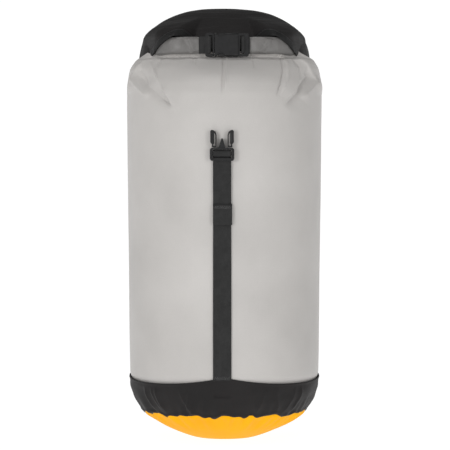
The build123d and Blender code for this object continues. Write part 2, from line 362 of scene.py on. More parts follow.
def plastic_material(name, low, high):
    """Moulded acetal: fine spark texture, scuffed a little."""
    m = Nodes(name, 0.38, specular=0.28)
    m.colour(low, high, m.noise(220.0, 4.0))
    m.bump(m.noise(2600.0, 2.0), 0.18, 0.05)
    m.bump(m.noise(160.0, 4.0), 0.08, 0.2)
    m.rough(0.34, 0.52, m.noise(120.0, 4.0))
    return m.mat


def thread_material(name, low, high):
    """Twisted sewing thread."""
    m = Nodes(name, 0.55, sheen=0.3)
    m.colour(low, high, m.noise(1500.0, 2.0))
    m.bump(m.wave(m.math("ADD", m.axis("X"), m.axis("Z")), 0.35), 0.5, 0.08)
    return m.mat


# name, darkest and lightest colour, roughness, radius of the cloth, sheen, crinkle, specular
GREY = ripstop(
    "grey_coated_nylon", srgb(172, 169, 166), srgb(189, 186, 183), 0.50, 110.0, 0.10, 0.10
)
# the roll's cloth is coloured a darker grey than the body
ROLL_GREY = ripstop(
    "roll_darker_grey", srgb(70, 69, 68), srgb(114, 112, 110), 0.45, 60.0, 0.05, 0.35, 0.45
)
BLACK = ripstop(
    "black_nylon", srgb(25, 24, 24), srgb(38, 36, 36), 0.60, 108.0, 0.02, 0.45, 0.14
)
YELLOW = ripstop(
    "yellow_laminate", srgb(236, 162, 0), srgb(246, 178, 6), 0.60, 60.0, 0.0, 0.45, 0.12
)
TAPE = webbing_material("binding_tape", srgb(16, 16, 16), srgb(28, 28, 28))
WEBBING = webbing_material("black_webbing", srgb(26, 26, 26), srgb(44, 44, 44))
PLASTIC = plastic_material("black_acetal", srgb(14, 14, 15), srgb(24, 24, 25))
THREAD = thread_material("black_thread", srgb(30, 30, 30), srgb(66, 66, 66))
STRIP = plastic_material("stiffener_strip", srgb(30, 30, 30), srgb(44, 44, 44))


# ================= the sack's surfaces =================


def ring_points(theta, half_w, front, rear, power):
    """Superellipse of a half-width, its y limits given; theta 0 faces -Y."""
    c = np.cos(theta)
    s = np.sin(theta)
    mid = (front + rear) / 2
    half_d = (rear - front) / 2
    x = half_w * np.sign(s) * np.abs(s) ** (2 / power)
    y = mid - half_d * np.sign(c) * np.abs(c) ** (2 / power)
    return x, y


BODY_TOP = 449.0
ROLL_FOOT = 437.0  # where the front of the cloth meets the roll

# stations up the sack: height, half-width, front y, rear y, squareness
STATIONS = np.array([
    (45.0, 94.0, -94.0, 94.0, 2.0),
    (60.0, 101.0, -101.0, 101.0, 2.0),
    (68.0, 105.4, -105.4, 105.4, 2.0),
    (77.0, 108.0, -108.0, 108.0, 2.0),
    (140.0, 108.8, -108.8, 108.8, 2.0),
    (220.0, 109.8, -109.8, 109.8, 2.0),
    (300.0, 110.8, -110.8, 110.8, 2.0),
    (360.0, 111.5, -110.8, 111.5, 2.0),
    (388.0, 111.8, -107.6, 111.8, 2.0),
    (400.0, 111.5, -103.2, 111.0, 2.0),
    (408.0, 110.9, -97.6, 108.5, 2.0),
    (415.0, 109.7, -89.5, 94.0, 2.02),
    (421.0, 108.0, -80.3, 71.5, 2.05),
    (430.0, 101.9, -64.0, 38.0, 2.15),
    (434.5, 97.5, -57.6, 30.0, 2.25),
    (440.0, 90.5, -54.5, 22.0, 2.4),
    (BODY_TOP, 78.0, -52.0, 5.0, 2.6),
])

# folds that fan out from the ends of the roll: (x, z) points on the front, width, height
FOLDS = [
    ([(-79, 431), (-81, 424), (-77, 413), (-68, 396), (-60, 380), (-54, 368)], 1.9, 1.3),
    ([(-62, 436), (-73, 430), (-77, 420), (-73, 406), (-66, 390)], 1.3, -0.8),
    ([(-100, 420), (-90, 402), (-72, 385), (-52, 372)], 3.4, -1.5),
    ([(-88, 432), (-99, 421), (-106, 406), (-108, 390)], 2.6, 1.3),
    ([(-92, 433), (-94, 418), (-86, 398)], 2.0, -0.8),
    ([(-106, 414), (-98, 400), (-84, 384)], 2.4, 0.8),
    ([(60, 437), (65, 428), (66, 415), (63, 400), (57, 384)], 1.3, -1.0),
    ([(66, 437), (71, 424), (70, 406), (62, 386)], 1.8, 0.8),
    ([(95, 431), (95, 412), (84, 392), (66, 374)], 3.0, -1.5),
    ([(79, 435), (94, 425), (104, 408), (107, 390)], 2.4, 1.3),
    ([(74, 434), (85, 422), (88, 406), (82, 390)], 1.8, -0.7),
    ([(107, 412), (99, 398), (86, 384)], 2.6, 0.9),
    ([(-1.8, 438), (-1.4, 415), (-2.6, 386)], 0.8, -0.7),
    ([(3.4, 438), (2.4, 415), (0.4, 390)], 0.8, 0.6),
    ([(-30.5, 438), (-31.5, 420)], 0.9, -0.4),
    ([(-34.5, 438), (-35.5, 424)], 0.9, -0.3),
    ([(31.0, 438), (33.5, 416)], 1.0, -0.45),
]

FOLD_GAIN = 2.8
# creases beside and behind, as distances round a 100 mm circle
SIDE_CREASES = (195.0, 245.0, 295.0, -280.0, -225.0, -190.0)


def front_folds(x, z):
    """Height of the shoulder folds at points of the front."""
    total = np.zeros(x.shape)
    for points, width, height in FOLDS:
        total += FOLD_GAIN * fold(x, z, points, width, height)
    return total


def front_dense(cols, share=0.45):
    """Angles round the sack, closer together at the front."""
    even = np.linspace(-math.pi, math.pi, cols, endpoint=False)
    return even - share * np.sin(even)


def body_surface(rows, cols):
    """Points of the grey tube and its gathered shoulders."""
    steps = np.hypot(np.diff(STATIONS[:, 0]), np.diff(STATIONS[:, 2]))
    knots = np.concatenate([[0], np.cumsum(steps)])
    # more rows where the shoulder turns and folds
    shares = [0, 0.1, 0.42, 1.0]
    places = [0.0, knots[3], knots[7], knots[-1]]
    t = np.interp(np.linspace(0, 1, rows), shares, places)
    z0, half_w, front, rear, power = spline(knots, STATIONS, t, steady=True).T
    theta = front_dense(cols)
    th, tt = np.meshgrid(theta, t)
    x, y = ring_points(th, half_w[:, None], front[:, None], rear[:, None], power[:, None])
    z = np.repeat(z0[:, None], cols, 1)
    # the cloth meets the foot of the roll in front, and stands up at the roll's two ends
    top = smooth(knots[-4], knots[-1], tt)
    to_front = smooth(-0.15, 0.42, np.cos(th))
    lip = ROLL_FOOT + 2.8 * bell(np.abs(x), 77.0, 9.0)
    z -= top * to_front * (BODY_TOP - lip)
    # slow swells of a filled sack
    swell = 0.35 * wander(x / 40, z / 60, 3) * smooth(77, 120, z) * smooth(412, 380, z)
    # gathers that run up to the roll
    pleat = ring_wave(th, z / 30, 14, 22, 8) + 0.5 * ring_wave(th, z / 40, 30, 44, 9)
    gather = 1.3 * pleat * smooth(400, 434, z) * smooth(0.5, 0.1, np.cos(th))
    faint = 0.18 * ring_wave(th, z / 60, 40, 60, 10) * smooth(395, 432, z)
    crease = np.where(y < 0, front_folds(x, z), 0.0)
    side_crease = 0.0
    for k, place in enumerate(SIDE_CREASES):
        slant = (-1) ** k
        line = [(place, 434), (place + slant * 5, 415), (place + slant * 11, 392)]
        side_crease = side_crease + fold(th * 100, z, line, 3.2, 2.0)
    out = swell + gather + faint + crease + side_crease
    nx = x / half_w[:, None] ** 2
    ny = (y - (front + rear)[:, None] / 2) / ((rear - front)[:, None] / 2) ** 2
    length = np.hypot(nx, ny) + 1e-9
    lift = smooth(405, 436, z) * 0.55
    x = x + out * nx / length * (1 - lift)
    y = y + out * ny / length * (1 - lift)
    z = z + out * lift
    return np.stack([x, y, z], -1)


def make_body():
    """The grey tube with its shoulders."""
    rows, cols = ((360, 760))
    body = grid_object("sack_body", body_surface(rows, cols))
    thicken(body, CLOTH_T)
    stand_in(body, GREY, "body_panel", "sack")


# ================= band and base =================

BAND_PROFILE_Z = np.array([26.0, 31.0, 36.0, 45.0, 54.0, 66.0, 77.0, 90.0])
BAND_PROFILE_R = np.array([85.0, 90.4, 94.8, 100.4, 104.2, 107.0, 108.0, 108.2])


def band_radius(z):
    """Radius of the band at each height."""
    inside = np.clip(z, BAND_PROFILE_Z[0], BAND_PROFILE_Z[-1])
    return spline(BAND_PROFILE_Z, BAND_PROFILE_R, inside.ravel()).reshape(z.shape)


def from_front(theta):
    """Angle from the front strap, 0 to 180 degrees."""
    wrapped = (theta + math.pi) % TAU - math.pi
    return np.degrees(np.abs(wrapped))


def band_top(theta):
    """The band's upper edge dips between the straps that pull on it."""
    a = from_front(theta)
    front = np.sin(math.pi * np.clip(a / SIDE_ANGLE, 0, 1) ** 0.75)
    back = np.sin(math.pi * np.clip((a - SIDE_ANGLE) / (REAR_ANGLE - SIDE_ANGLE), 0, 1))
    return 77.6 - 9.4 * np.abs(np.where(a < SIDE_ANGLE, front, 0.75 * back))


def band_low(theta):
    """Its lower edge is gathered, so it is scalloped."""
    return (
        30.2
        + 1.5 * np.sin(11 * theta + 0.8 + 0.9 * np.sin(3 * theta))
        + 1.0 * np.sin(19 * theta + 1.0 + 1.2 * np.sin(2 * theta + 1))
        + 0.6 * np.sin(37 * theta + 2.0)
    )


# folds that run down to the band's gathered seam: place round the front, slant
BAND_FOLDS = [
    (-104, 9), (-92, 12), (-84, 7), (-52, 14), (-38, -9), (-24, -12),
    (28, 10), (46, -8), (58, 12), (88, -10), (98, -6),
]


def band_surface(rows, cols):
    """Points of the black band, gathered at its lower edge."""
    theta = front_dense(cols, 0.3)
    s = np.linspace(0, 1, rows)
    th, ss = np.meshgrid(theta, s)
    z = band_top(th) * (1 - ss) + band_low(th) * ss
    r = band_radius(z) + 1.0
    # gathers: folds that grow towards the lower seam
    grow = smooth(0.25, 1.0, ss)
    gathers = ring_wave(th, 2 * ss, 15, 24, 21) + 0.8 * ring_wave(th, 2 * ss, 34, 52, 22)
    push = 0.9 * grow * gathers
    push += 1.1 * ring_wave(th, z / 6, 5, 11, 23) * smooth(0.08, 0.3, ss)
    arc = th * 105
    for k, (x, lean) in enumerate(BAND_FOLDS):
        line = [(x, 66), (x + lean * 0.35, 50), (x + lean, 33)]
        push += fold(arc, z, line, 2.2, 1.6 if k % 2 else 2.2, 0.3)
    r += np.maximum(push, -1.6)
    # a hem roll at the top, and the tuck into the lower seam
    r += 0.55 * bell(ss, 0.035, 0.03)
    r += 1.2 * bell(ss, 0.93, 0.05) - 2.2 * smooth(0.955, 1.0, ss)
    # the stitched end of each strap pulls a short dimple
    for angle in (FRONT_ANGLE, SIDE_ANGLE, REAR_ANGLE, -SIDE_ANGLE):
        gap = (np.degrees(th) - angle + 180) % 360 - 180
        arc = gap * math.pi / 180 * R_LOW
        wide = smooth(11, 7.5, np.abs(arc))
        r -= 1.2 * wide * bell(z, 55.5, 1.6)
        r += 0.5 * wide * bell(z, 52.0, 2.5)
    # long soft wrinkles across the front
    r += 0.35 * ring_wave(th, z / 2.6, 2, 6, 24) * bell(ss, 0.5, 0.3)
    return np.stack([r * np.sin(th), -r * np.cos(th), z], -1)


def make_band():
    """The black band round the bottom."""
    rows, cols = ((72, 720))
    band = grid_object("band_cloth", band_surface(rows, cols)[::-1])
    thicken(band, BAND_T)
    stand_in(band, BLACK, "base_band", "sack")


def base_surface(rows, cols):
    """Yellow dome, puckered at its seam, flat where the sack stands."""
    knots = np.arange(9.0)
    radius = np.array([93.0, 91.0, 86.0, 78.0, 68.5, 57.5, 45.5, 33.0, 19.0])
    height = np.array([33.0, 30.0, 26.4, 20.8, 15.0, 9.9, 5.2, 1.5, 0.0])
    t = np.linspace(knots[0], knots[-1], rows)
    r0 = spline(knots, radius, t)
    z0 = np.maximum(spline(knots, height, t), 0)
    theta = np.linspace(0, TAU, cols, endpoint=False)
    th, tt = np.meshgrid(theta, t)
    r = np.repeat(r0[:, None], cols, 1)
    z = np.repeat(z0[:, None], cols, 1)
    pucker = ring_wave(th, tt / 2, 13, 24, 31) + 0.6 * ring_wave(th, tt / 2, 34, 50, 32)
    depth = pucker * (0.9 * smooth(5.0, 0.6, tt) + 1.1 * bell(tt, 2.4, 1.5))
    r = r + 0.6 * depth
    z = z - 0.7 * depth * smooth(6.8, 5.0, tt) * smooth(0.0, 0.8, tt)
    z = np.maximum(z, 0)
    return np.stack([r * np.sin(th), -r * np.cos(th), z], -1)


def make_base():
    """The yellow domed base."""
    rows, cols = ((70, 520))
    base = grid_object("base_cloth", base_surface(rows, cols)[::-1], cap_start=True)
    thicken(base, CLOTH_T)
    stand_in(base, YELLOW, "base_panel", "sack")


# ================= rolled collar =================

RING_Y = -28.0
RING_HALF_W = 80.0
RING_HALF_D = 36.0
RING_STRAIGHT = RING_HALF_W - RING_HALF_D  # half-length of the ring's straight sides
ROLL_X_LEFT = -27.2  # ends of the roll, each side of its buckle
ROLL_X_RIGHT = 27.6
ROLL_HALF_T = 4.4
ROLL_INSET = 4.5  # from the ring's outside to the roll's middle
CREASE_GAIN = 1.5

# creases on the two front faces of the roll: (x, height) points, width, depth
LEFT_CREASES = [
    ([(-41, 9), (-37, 0), (-33, -9)], 1.5, 1.1, 0.1),
    ([(-47, 8), (-40, -3), (-37, -9)], 1.2, -0.6, 0.1),
    ([(-62, 6), (-52, -2), (-44, -3)], 3.0, 0.8, 0.2),
]
RIGHT_CREASES = [
    ([(47, 9), (45, 0), (39, -9)], 1.5, 1.1, 0.1),
    ([(54, 9), (52, 0), (44, -8)], 1.3, -0.7, 0.1),
    ([(74, 5), (62, -1), (55, -3)], 2.6, 0.7, 0.2),
]


def stadium_path(count, inset):
    """Centre line of the roll, from its left end round the back to its right end."""
    r = RING_HALF_D - inset
    straight = RING_STRAIGHT
    front_left = straight + ROLL_X_LEFT
    front_right = straight - ROLL_X_RIGHT
    half_turn = math.pi * r
    total = front_left + 2 * half_turn + 2 * straight + front_right
    s = np.linspace(0, total, count)
    x = np.empty(count)
    y = np.empty(count)
    out = np.empty((count, 2))
    for i, d in enumerate(s):
        if d < front_left:
            x[i], y[i], out[i] = ROLL_X_LEFT - d, RING_Y - r, (0, -1)
            continue
        d -= front_left
        if d < half_turn:
            a = d / r
            out[i] = (-math.sin(a), -math.cos(a))
            x[i], y[i] = -straight + r * out[i][0], RING_Y + r * out[i][1]
            continue
        d -= half_turn
        if d < 2 * straight:
            x[i], y[i], out[i] = -straight + d, RING_Y + r, (0, 1)
            continue
        d -= 2 * straight
        if d < half_turn:
            a = d / r
            out[i] = (math.sin(a), math.cos(a))
            x[i], y[i] = straight + r * out[i][0], RING_Y + r * out[i][1]
            continue
        d -= half_turn
        x[i], y[i], out[i] = straight - d, RING_Y - r, (0, -1)
    return s, x, y, out


def make_roll():
    """The mouth rolled flat: rounded layers, creased beside the buckle."""
    low, high = node_box("rolled_collar")
    mid = (low[2] + high[2]) / 2
    half_h = (high[2] - low[2]) / 2 - 0.2
    count, around = ((520, 72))
    s, x, y, out = stadium_path(count, ROLL_INSET)
    a = np.linspace(0, TAU, around, endpoint=False)
    ss, aa = np.meshgrid(s, a, indexing="ij")
    c, d = np.cos(aa), np.sin(aa)
    w = ROLL_HALF_T * np.sign(c) * np.abs(c) ** 0.62
    h = half_h * np.sign(d) * np.abs(d) ** 0.42
    px = x[:, None]
    # layers of the roll show as shallow steps along its edges
    w += 0.35 * np.cos(h * 1.15 + 0.6 * np.sin(ss / 23)) * smooth(0.2, 0.9, np.abs(d))
    face = smooth(0.15, 0.8, c)
    # creases on the front faces, running down towards the buckle
    front = y[:, None] < RING_Y - 20
    spread = px + 0 * aa
    left = sum(fold(spread, h, *crease) for crease in LEFT_CREASES)
    right = sum(fold(spread, h, *crease) for crease in RIGHT_CREASES)
    w += CREASE_GAIN * face * front * np.where(px < 0, left, right)
    w += 0.35 * wander(ss / 7, h / 4, 41) + 0.18 * wander(ss / 3, h / 2.4, 42)
    # pressed flat under the sewn loops at both ends
    end = np.minimum(ss, s[-1] - ss)
    w *= 1 - 0.35 * smooth(9, 0, end)
    h = h * (1 - 0.03 * smooth(6, 0, end)) + 0.5 * wander(ss / 16, 0 * aa, 43) * smooth(4, 20, end)
    # the ends of the roll slope down towards the shoulders as it turns back
    slump = smooth(56, 80, np.abs(px)) * 2.0
    h = h * (1 - 0.14 * smooth(52, 80, np.abs(px)))
    out_x, out_y = out[:, 0][:, None], out[:, 1][:, None]
    pts = np.stack([px + w * out_x, y[:, None] + w * out_y, mid + h - slump], -1)
    roll = grid_object("roll_cloth", pts, cap_start=True, cap_end=True)
    stand_in(roll, ROLL_GREY, "rolled_collar", "sack")


MOUTH_REACH = 31.0  # from the ring's middle line to under the roll
MOUTH_FLOOR = 422.0
MOUTH_DEPTH = 16.0


def make_mouth():
    """The sack's neck, bunched up and closed inside the ring of the roll."""
    rows, cols = ((60, 480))
    theta = np.linspace(0, TAU, cols, endpoint=False)
    th, share = np.meshgrid(theta, np.linspace(0.05, 1, rows))
    reach = MOUTH_REACH * share
    s, c = np.sin(th), np.cos(th)
    x = RING_STRAIGHT * np.clip(1.3 * s, -1, 1) + reach * s
    y = RING_Y - reach * np.sign(c) * np.abs(c) ** 0.6
    # deep in the middle, up under the roll at its edge, with gathers on the slope
    gathers = ring_wave(th, share, 16, 26, 61) + 0.5 * ring_wave(th, share, 34, 48, 62)
    slope = smooth(0.1, 0.6, share) * smooth(1.0, 0.85, share)
    z = MOUTH_FLOOR + MOUTH_DEPTH * smooth(0.3, 1.0, share) + 1.5 * gathers * slope
    mouth = grid_object("mouth_cloth", np.stack([x, y, z], -1), cap_start=True)
    thicken(mouth, THIN_CLOTH_T)
    paint(mouth, GREY)
    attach(mouth, "sack")


# ================= lid =================

# half-width, middle y, half-depth, rise and height of the widest part of the lid's dome
LID_X = 100.0
LID_Y = 33.5
LID_RY = 81.5
LID_RZ = 66.2
LID_Z = 430.0
RIM_FRONT = 441.5
RIM_REAR = 403.0
RIM_HALF_D = 82.0
ROLL_CLEAR = 1.8  # the lid passes this far outside the ends of the roll
LID_SINK = 0.6  # the cloth lies this far inside the dome
CROWN = 0.9996  # the dome's rings stop just short of its pole
WEB_FACING = math.radians(72)  # plan direction that the taut cloth beside the roll faces
WEB_FROM, WEB_TO = 47.0, 78.0  # where it runs, in degrees from the front


def rim_plane(y):
    """The edge is level from side to side and falls towards the back."""
    share = (y - LID_Y + RIM_HALF_D) / (2 * RIM_HALF_D)
    return RIM_FRONT + share * (RIM_REAR - RIM_FRONT)


# the edge climbs out of the ring over the roll and comes down outside its ends: degrees, height
CROSSING = np.array([
    (22, 443.0), (25, 449.0), (28, 456.4), (31, 456.2), (35, 451.6),
    (40, 446.0), (46, 439.5), (52, 435.0), (60, 430.5),
])

# a long fold from the left, the hollow above the buckle, and a fold from the right
LID_FOLDS = [
    ([(-92, 452), (-60, 470), (-20, 480), (20, 483)], 3.2, 1.2),
    ([(-70, 455), (-38, 464), (0, 470), (40, 469), (70, 462)], 2.6, 1.0),
    ([(10, 478), (45, 475), (80, 462), (92, 450)], 2.8, 1.0),
]

# section of the tape over the edge: out from the dome, up from the edge
BINDING_SECTION = [
    (0.35, 8.0), (0.95, 6.2), (1.05, 1.0), (0.85, 0.0),
    (0.0, -0.7), (-1.3, 0.0), (-1.5, 3.0), (-1.3, 6.0),
]


def rim_height(theta):
    """Height of the lid's edge round the sack."""
    y = LID_Y - LID_RY * np.cos(theta)
    a = from_front(theta)
    crossing = np.interp(a, CROSSING[:, 0], CROSSING[:, 1])
    share = smooth(20, 25, a) * smooth(66, 54, a)
    return rim_plane(y) * (1 - share) + crossing * share


def lid_point(theta, z):
    """Full-shouldered dome, squarer in plan at the front where it is stuffed over the roll."""
    t = np.clip((z - LID_Z) / LID_RZ, -1, 1)
    up = np.maximum(t, 0)
    width = LID_X * (1 - up**2.3) ** 0.42
    depth = LID_RY * np.sqrt(1 - up**2)
    turn = from_front(theta)
    power = 2.1 + smooth(95, 45, turn)
    s, c = np.sin(theta), np.cos(theta)
    reach = (np.abs(s / width) ** power + np.abs(c / depth) ** power) ** (-1 / power)
    # outside the crossings the cloth lies over the rounded ends of the roll
    over = smooth(24, 30, turn) * smooth(82, 70, turn) * smooth(484, 455, z)
    taut = np.minimum(ring_reach(s, c) + ROLL_CLEAR, width / (np.abs(s) + TINY))
    reach = reach + over * np.maximum(taut - reach, 0)
    return reach * s, LID_Y - reach * c


def ring_reach(s, c):
    """Distance from the lid's centre out to the round end of the roll, along (s, -c)."""
    cx = np.sign(s) * RING_STRAIGHT
    cy = RING_Y - LID_Y
    along = cx * s - cy * c
    across2 = cx**2 + cy**2 - along**2
    inside = RING_HALF_D**2 - across2
    end = np.where(inside > 0, along + np.sqrt(np.maximum(inside, 0)), 0)
    # past the roll the cloth runs taut and straight, back to the side of the lid
    side, ahead = math.sin(WEB_FACING), math.cos(WEB_FACING)
    web = (np.abs(cx) * side - cy * ahead + RING_HALF_D) / (np.abs(s) * side + c * ahead + TINY)
    turn = from_front(np.arctan2(s, c))
    return np.where((turn > WEB_FROM) & (turn < WEB_TO), web, end)


def lid_surface(rows, cols):
    """Points of the soft cap, from its edge up to the crown."""
    theta = np.linspace(0, TAU, cols, endpoint=False)
    s = np.linspace(0, 1, rows)
    th, ss = np.meshgrid(theta, s)
    z_low = rim_height(th)
    z_top = LID_Z + LID_RZ * CROWN
    t_low = (z_low - LID_Z) / LID_RZ
    # equal steps of slope angle above the equator, straight below it
    psi_low = np.where(t_low > 0, np.arcsin(np.clip(t_low, -1, 1)), t_low)
    psi = psi_low + (math.asin(CROWN) - psi_low) * ss
    z = LID_Z + LID_RZ * np.where(psi > 0, np.sin(np.maximum(psi, 0)), psi)
    z = np.minimum(z, z_top)
    x, y = lid_point(th, z)
    nx = x / LID_X**2
    ny = (y - LID_Y) / LID_RY**2
    nz = np.maximum(z - LID_Z, 0) / LID_RZ**2
    length = np.sqrt(nx**2 + ny**2 + nz**2)
    # soft wrinkles: long across the front, radiating behind
    across = wander(x / 34, z / 5.5 + x * x / 9000, 51) + 0.7 * wander(x / 22, z / 3.4, 52, 0.9)
    radial = 0.5 * ring_wave(th, z / 18, 9, 17, 53) + 0.35 * ring_wave(th, z / 20, 22, 34, 54)
    front = smooth(0.1, 0.7, np.cos(th))
    crown = smooth(1.0, 0.8, ss)
    out = (across * front + 1.1 * radial * (1 - front)) * crown - LID_SINK
    for points, width, height in LID_FOLDS:
        out += fold(x, z, points, width, height, 0.3) * (y < LID_Y)
    edge = smooth(0.0, 0.06, ss)
    out = out * (0.35 + 0.65 * edge)
    x = x + out * nx / length
    y = y + out * ny / length
    z = z + out * nz / length
    return np.stack([x, y, z], -1)


def make_lid():
    """The soft cap over the roll."""
    rows, cols = ((130, 560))
    lid = grid_object("lid_cloth", lid_surface(rows, cols), cap_end=True)
    thicken(lid, THIN_CLOTH_T)
    stand_in(lid, BLACK, "lid_shell", "lid")


def make_binding():
    """Tape folded over the lid's edge, ribbed by its stitches."""
    cols = 720
    theta = np.linspace(0, TAU, cols, endpoint=False)
    low = rim_height(theta)
    loops = []
    for out, up in BINDING_SECTION:
        z = low + up
        x, y = lid_point(theta, z)
        nx, ny = x / LID_X**2, (y - LID_Y) / LID_RY**2
        length = np.hypot(nx, ny)
        off = out - LID_SINK + 0.15 * np.sin(theta * 60)
        loops.append(np.stack([x + off * nx / length, y + off * ny / length, z], -1))
    faces = grid_faces(len(BINDING_SECTION), cols, closed_v=True)
    tape = mesh_object("lid_tape", np.array(loops).reshape(-1, 3), faces)
    stand_in(tape, TAPE, "lid_binding", "lid")


# ================= webbing =================

STRIP_AROUND = 44  # points round a strip's section
STITCH_R = 0.28


def strap_axes(angle):
    """Across, up and outward unit vectors of a strap on the tube."""
    a = math.radians(angle)
    norm = math.hypot(1, LEAN)
    out = np.array([math.sin(a) / norm, -math.cos(a) / norm, -LEAN / norm])
    across = np.array([math.cos(a), math.sin(a), 0.0])
    up = np.cross(out, across)
    return across, up, out


def strap_point(angle, z, lift):
    """Point over the tube at a strap's angle, a height and a distance off the cloth."""
    a = math.radians(angle)
    out = strap_axes(angle)[2]
    r = R_LOW + (z - Z_CONE_LOW) * LEAN
    return np.array([r * math.sin(a), -r * math.cos(a), z]) + lift * out


def strip(name, path, across, half_w, thickness, ripple, seed):
    """Flat webbing along a centre path, its edges rounded; closed mesh."""
    path = np.asarray(path, float)
    tangent = np.gradient(path, axis=0)
    tangent /= np.linalg.norm(tangent, axis=1)[:, None]
    normal = np.cross(tangent, across)
    normal /= np.linalg.norm(normal, axis=1)[:, None]
    a = np.linspace(0, TAU, STRIP_AROUND, endpoint=False)
    cu = np.sign(np.cos(a)) * np.abs(np.cos(a)) ** 0.35
    cw = np.sign(np.sin(a)) * np.abs(np.sin(a)) ** 0.5
    s = np.linspace(0, 1, len(path))
    width = half_w * (1 + ripple * 0.04 * wander(s * 9, 0 * s, seed))
    bow = ripple * 0.25 * wander(s * 7, 0 * s, seed + 1)
    u = cu[None, :] * width[:, None]
    w = cw[None, :] * thickness / 2 + bow[:, None]
    pts = path[:, None, :] + u[..., None] * np.asarray(across) + w[..., None] * normal[:, None, :]
    return grid_object(name, pts, cap_start=True, cap_end=True)


def stitch(p, q, normal):
    """One raised thread stitch from p to q: a short spindle."""
    p, q = np.asarray(p, float), np.asarray(q, float)
    axis = q - p
    length = np.linalg.norm(axis)
    axis /= length
    side = np.cross(axis, normal)
    side /= np.linalg.norm(side)
    rings = []
    for t, k in ((0, 0.35), (0.15, 0.85), (0.5, 1.0), (0.85, 0.85), (1, 0.35)):
        centre = p + axis * length * t
        ring = [
            centre + STITCH_R * k * (math.cos(b) * side + math.sin(b) * np.asarray(normal))
            for b in np.linspace(0, TAU, 6, endpoint=False)
        ]
        rings.append(ring)
    return np.array(rings)


def stitches(name, segments, normal, body):
    """All stitches of one seam as one object."""
    verts, faces = [], []
    for p, q in segments:
        rings = stitch(p, q, normal)
        count, around = rings.shape[:2]
        base = len(verts)
        verts.extend(rings.reshape(-1, 3))
        faces.extend(grid_faces(count, around, offset=base))
        faces.append(tuple(base + j for j in range(around - 1, -1, -1)))
        faces.append(tuple(base + (count - 1) * around + j for j in range(around)))
    obj = mesh_object(name, verts, faces)
    paint(obj, THREAD)
    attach(obj, body)


def box_stitch(name, centre, across, up, out, half_w, half_h, body):
    """Bar tack: a zigzag between two rows of close stitches."""
    segments = []
    count = 14
    for row in (-half_h, half_h):
        for k in range(count):
            u = -half_w + (2 * half_w) * (k + 0.15) / count
            v = u + 2 * half_w * 0.7 / count
            segments.append((centre + across * u + up * row, centre + across * v + up * row))
    for k in range(count):
        u0 = -half_w + 2 * half_w * k / count
        u1 = -half_w + 2 * half_w * (k + 1) / count
        sign = 1 if k % 2 else -1
        rise = up * half_h * sign * 0.8
        segments.append((centre + across * u0 + rise, centre + across * u1 - rise))
    stitches(name, segments, out, body)


# webbing round the ladder lock's bars: along the strap, outwards
TURN_LINE = [
    (3.4, -1.0), (6.0, -1.0), (9.6, -0.95), (11.0, -0.3), (11.5, 1.2), (11.2, 3.0), (10.2, 4.1),
    (8.0, 4.35), (6.4, 4.1), (5.0, 3.2), (4.4, 1.9), (3.9, 0.9), (3.4, 0.7),
]
TAIL_LOW = 267.0
TAB_LOW, TAB_HIGH = 244.0, 267.6
TAIL_LIFT = 2.7  # how far the tail runs off the cloth


def through(line, count):
    """Smooth path through the points of a line."""
    knots = np.arange(len(line), dtype=float)
    return spline(knots, np.array(line), np.linspace(0, len(line) - 1, count))


def web_piece(obj, node):
    """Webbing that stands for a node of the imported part."""
    paint(obj, WEBBING)
    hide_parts(node)


def make_strap(tag, angle, drop):
    """Webbing of one compression strap: main run, turn, tail and end tab."""
    across, up, out = strap_axes(angle)
    z_b = Z_BUCKLE + drop
    run_line = [strap_point(angle, z, 1.0) for z in np.linspace(Z_FOOT, z_b + 3.8, 90)]
    main_run = strip(f"{tag}_webbing_run", run_line, across, WEB_HALF, 1.3, 0.35, 61)
    web_piece(main_run, f"{tag}_strap_webbing")
    # turn: over the middle bar and back behind the lower bar
    bar = strap_point(angle, z_b, 2.0)
    turn_line = [bar + up * v + out * w for v, w in through(TURN_LINE, 60)]
    turn = strip(f"{tag}_webbing_turn", turn_line, across, WEB_HALF - 0.25, 1.2, 0, 62)
    web_piece(turn, f"{tag}_strap_turn")
    tail_zs = np.linspace(TAIL_LOW + drop, z_b + 3.4, 40)
    tail_line = [strap_point(angle, z, TAIL_LIFT) for z in tail_zs]
    tail = strip(f"{tag}_webbing_tail", tail_line, across, WEB_HALF, 1.2, 0.3, 63)
    web_piece(tail, f"{tag}_strap_tail")
    # end tab: the tail folded on itself and stitched
    low, high = TAB_LOW + drop, TAB_HIGH + drop
    tab_line = [
        (high, 2.75), (low + 4, 2.8), (low + 1.2, 2.9), (low + 0.4, 3.5),
        (low + 1.4, 4.2), (low + 5, 4.3), (high - 1.5, 4.25),
    ]
    aside = across * 0.5
    tab_path = [strap_point(angle, z, w) + aside for z, w in through(tab_line, 60)]
    tab = strip(f"{tag}_webbing_end", tab_path, across, 10.5, 1.2, 0, 64)
    web_piece(tab, f"{tag}_strap_end")
    rear = tag == "rear"
    body_strap = "sack" if rear else f"{tag}_strap"
    body_buckle = "sack" if rear else f"{tag}_buckle"
    body_tail = "sack" if rear else f"{tag}_tail"
    centre = strap_point(angle, high - 4.0, 4.95) + aside
    box_stitch(f"{tag}_end_bartack", centre, across, up, out, 8.6, 1.3, body_tail)
    centre = strap_point(angle, Z_FOOT + 3.0, 1.75)
    box_stitch(f"{tag}_foot_bartack", centre, across, up, out, 8.6, 1.2, body_strap)
    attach(turn, body_buckle)
    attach(tab, body_tail)
    if rear:
        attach(main_run, "sack")
        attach(tail, "sack")
        return
    # a run lengthens between its two ends as the buckle slides
    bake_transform(main_run)
    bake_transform(tail)


LOOP_HALF_W = 9.6


